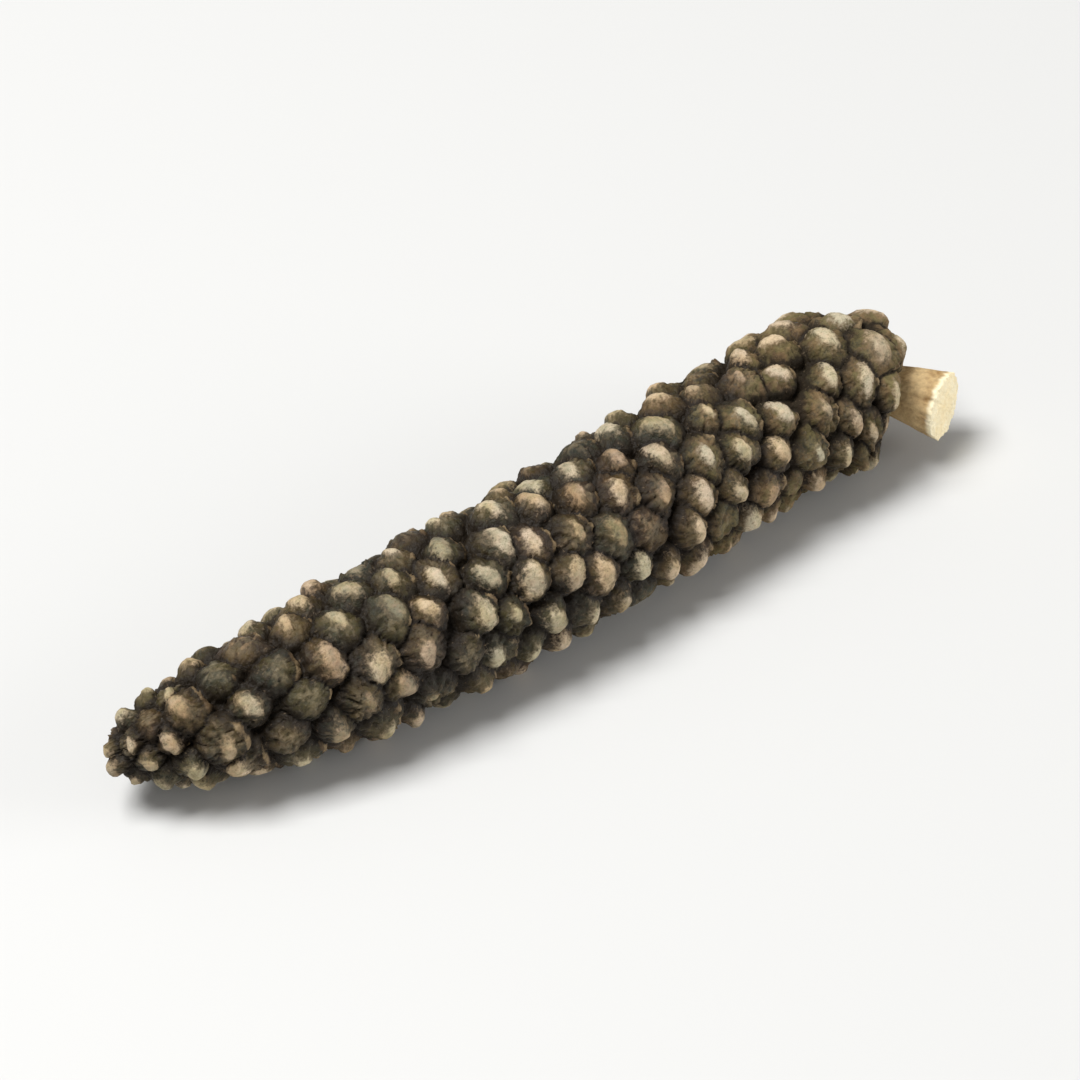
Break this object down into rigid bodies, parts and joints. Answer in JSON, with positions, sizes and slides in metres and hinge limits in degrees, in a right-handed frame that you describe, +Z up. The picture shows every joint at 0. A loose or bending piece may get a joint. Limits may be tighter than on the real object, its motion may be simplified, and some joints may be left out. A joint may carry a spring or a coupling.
{
  "type": "long pepper",
  "caption": "Dried long pepper: one spike of small fruits grown together in spiral rows, lying on its side, with the broken end of its stalk at the thick end.",
  "frame": {"origin": "on the surface that the pepper lies on, under the middle of its bounding box", "axes": "+X along the pepper from its thin rounded end to its stalk, +Z up, +Y across it"},
  "size_m": [0.0252, 0.0066, 0.0045],
  "materials": {
    "dried_fruit": "matte, wrinkled dark grey-brown skin with a pale tan point on each fruit",
    "stalk_wood": "matte, dry, fibrous cream wood"
  },
  "bodies": {
    "root": {"fruit_spike": "dried_fruit", "stalk_stub": "stalk_wood"}
  },
  "joints": []
}
